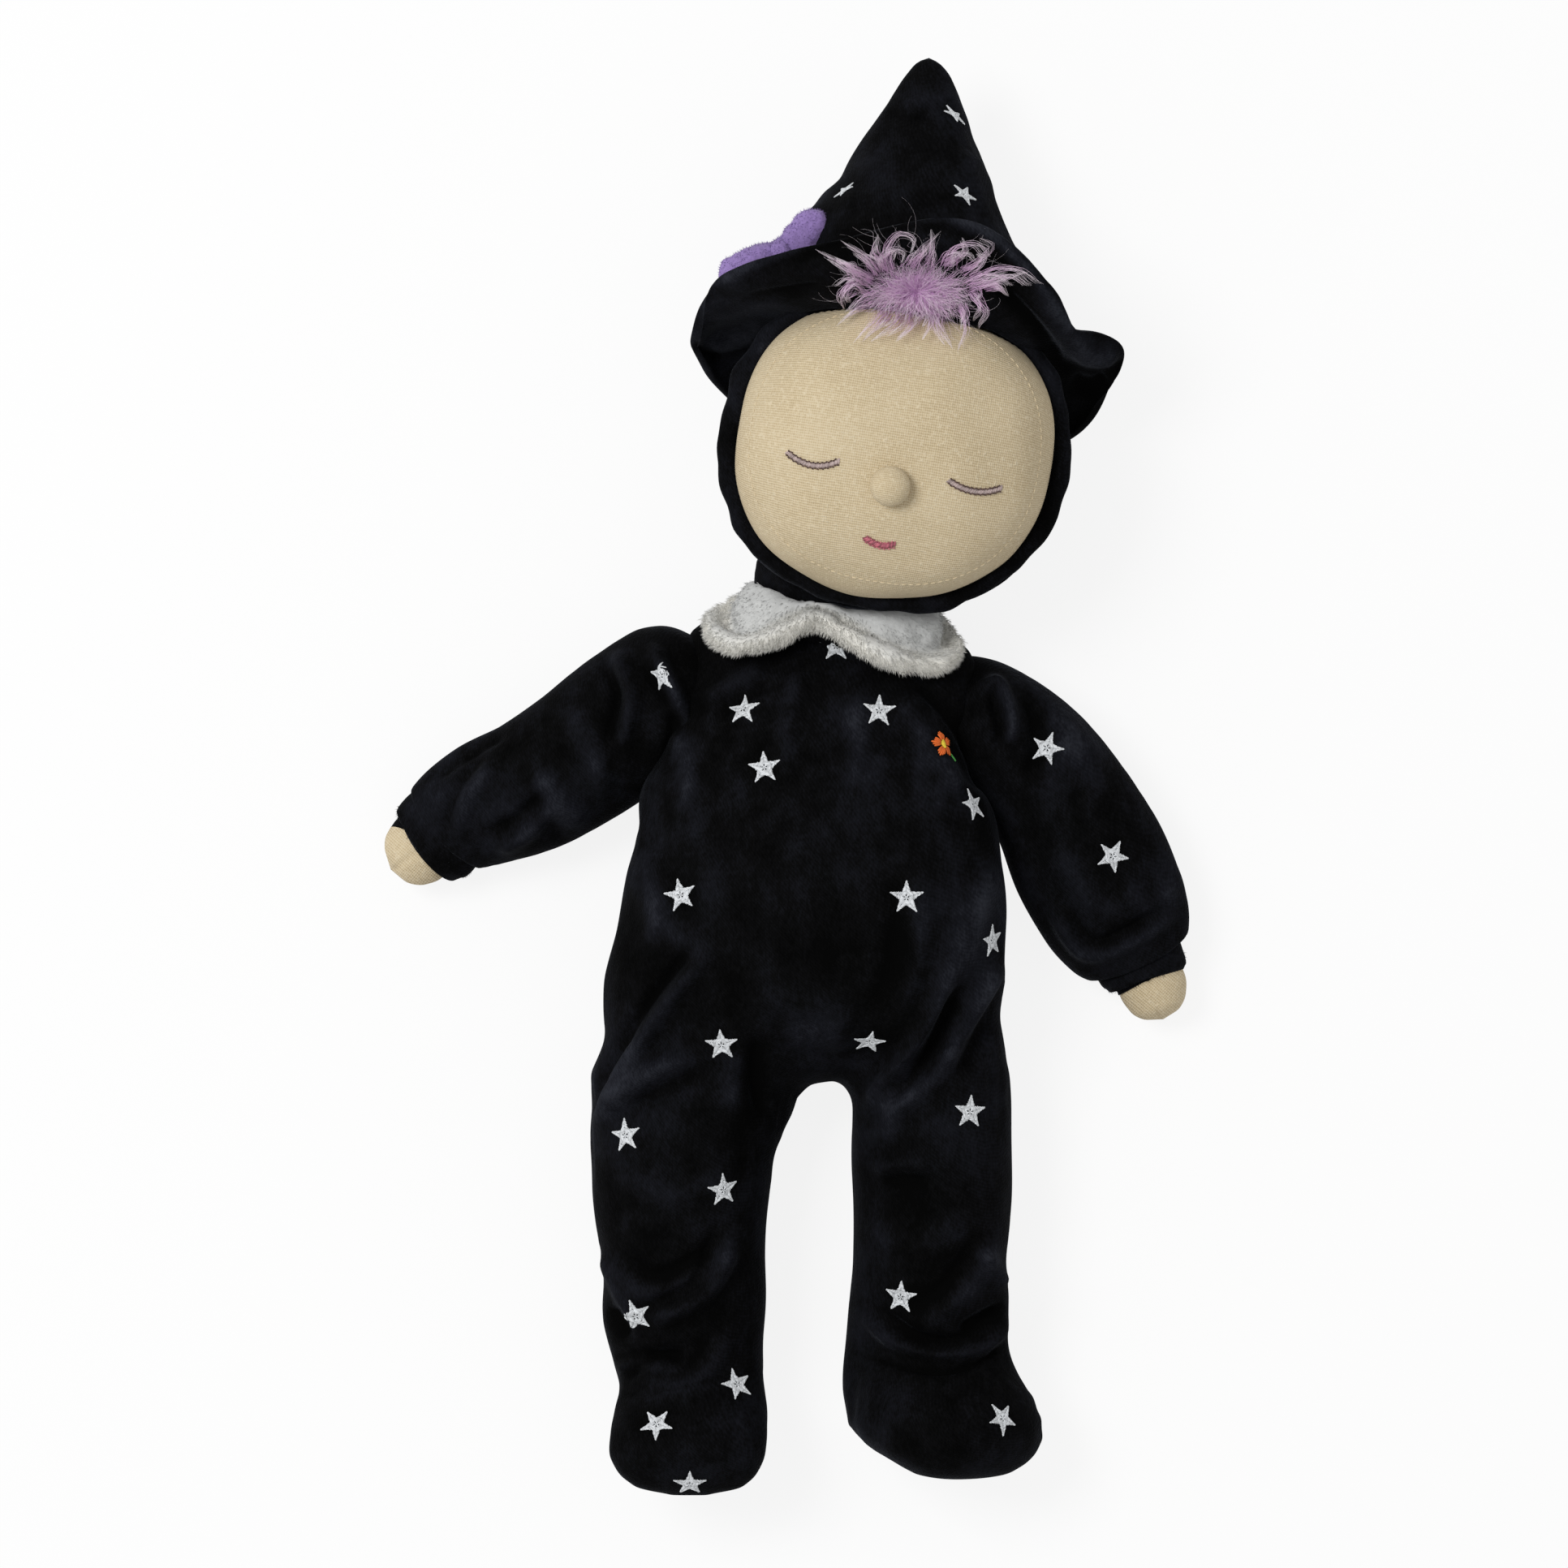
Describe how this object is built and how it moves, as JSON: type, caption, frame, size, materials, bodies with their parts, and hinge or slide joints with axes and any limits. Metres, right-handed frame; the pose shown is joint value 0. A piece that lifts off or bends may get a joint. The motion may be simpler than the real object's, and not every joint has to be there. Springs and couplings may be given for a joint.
{
  "type": "cloth witch doll",
  "caption": "Stuffed cloth witch doll lying on its back: velour sleepsuit, hooded head, fluted pointed hat, collar and bow, with limp neck, shoulders and hips.",
  "frame": {"origin": "middle of the bounding box in plan, on the table that the doll lies on", "axes": "+X to the viewer's right, +Y from the feet to the tip of the hat, +Z from the table up to the face"},
  "size_m": [0.2428, 0.4324, 0.1022],
  "materials": {
    "velour": "blue-black napped velour",
    "cotton": "plain-weave beige cotton",
    "plush": "short off-white plush",
    "bow_plush": "short purple plush",
    "hair": "long-pile lilac fur",
    "filling": "loose fibre"
  },
  "bodies": {
    "torso": {"suit_body": "velour", "body_filling": "filling", "collar_left": "plush", "collar_right": "plush"},
    "neck": {"neck": "velour"},
    "head": {"hood": "velour", "hood_rim": "velour", "face_panel": "cotton", "head_filling": "filling", "nose": "cotton", "hair_tuft": "hair", "hat_crown": "velour", "hat_filling": "filling", "hat_brim": "velour", "bow_knot": "bow_plush", "bow_loop_left": "bow_plush", "bow_loop_right": "bow_plush"},
    "shoulder_left": {"shoulder_wad_left": "filling"},
    "arm_left": {"sleeve_left": "velour", "arm_filling_left": "filling", "cuff_left": "velour", "hand_left": "cotton"},
    "hip_left": {"hip_wad_left": "filling"},
    "leg_left": {"leg_left": "velour", "leg_filling_left": "filling", "foot_left": "velour", "foot_filling_left": "filling", "sole_left": "velour"},
    "shoulder_right": {"shoulder_wad_right": "filling"},
    "arm_right": {"sleeve_right": "velour", "arm_filling_right": "filling", "cuff_right": "velour", "hand_right": "cotton"},
    "hip_right": {"hip_wad_right": "filling"},
    "leg_right": {"leg_right": "velour", "leg_filling_right": "filling", "foot_right": "velour", "foot_filling_right": "filling", "sole_right": "velour"}
  },
  "joints": [
    {"name": "neck_tilt", "type": "hinge", "parent": "torso", "child": "neck", "pos_m": [0.0235, 0.04219, 0.036], "axis": [0, 0, 1], "range_deg": [-12, 12]},
    {"name": "head_nod", "type": "hinge", "parent": "neck", "child": "head", "pos_m": [0.0235, 0.04219, 0.036], "axis": [1, 0, 0], "range_deg": [-10, 20]},
    {"name": "arm_swing_left", "type": "hinge", "parent": "torso", "child": "shoulder_left", "pos_m": [-0.03658, 0.01873, 0.02], "axis": [0, 0, 1], "range_deg": [-52, 14]},
    {"name": "arm_lift_left", "type": "hinge", "parent": "shoulder_left", "child": "arm_left", "pos_m": [-0.03658, 0.01873, 0.02], "axis": [-0.4848, 0.8746, 0], "range_deg": [-20, 60]},
    {"name": "arm_swing_right", "type": "hinge", "parent": "torso", "child": "shoulder_right", "pos_m": [0.06432, 0.01096, 0.02], "axis": [0, 0, 1], "range_deg": [-2, 72]},
    {"name": "arm_lift_right", "type": "hinge", "parent": "shoulder_right", "child": "arm_right", "pos_m": [0.06432, 0.01096, 0.02], "axis": [-0.7547, -0.6561, 0], "range_deg": [-20, 60]},
    {"name": "leg_lift_left", "type": "hinge", "parent": "torso", "child": "hip_left", "pos_m": [-0.0306, -0.09383, 0.026], "axis": [-1, 0, 0], "range_deg": [-10, 60]},
    {"name": "leg_splay_left", "type": "hinge", "parent": "hip_left", "child": "leg_left", "pos_m": [-0.0306, -0.09383, 0.026], "axis": [0, 0, 1], "range_deg": [-22, 3]},
    {"name": "leg_lift_right", "type": "hinge", "parent": "torso", "child": "hip_right", "pos_m": [0.04161, -0.09383, 0.026], "axis": [-1, 0, 0], "range_deg": [-10, 60]},
    {"name": "leg_splay_right", "type": "hinge", "parent": "hip_right", "child": "leg_right", "pos_m": [0.04161, -0.09383, 0.026], "axis": [0, 0, 1], "range_deg": [-3, 22]}
  ]
}
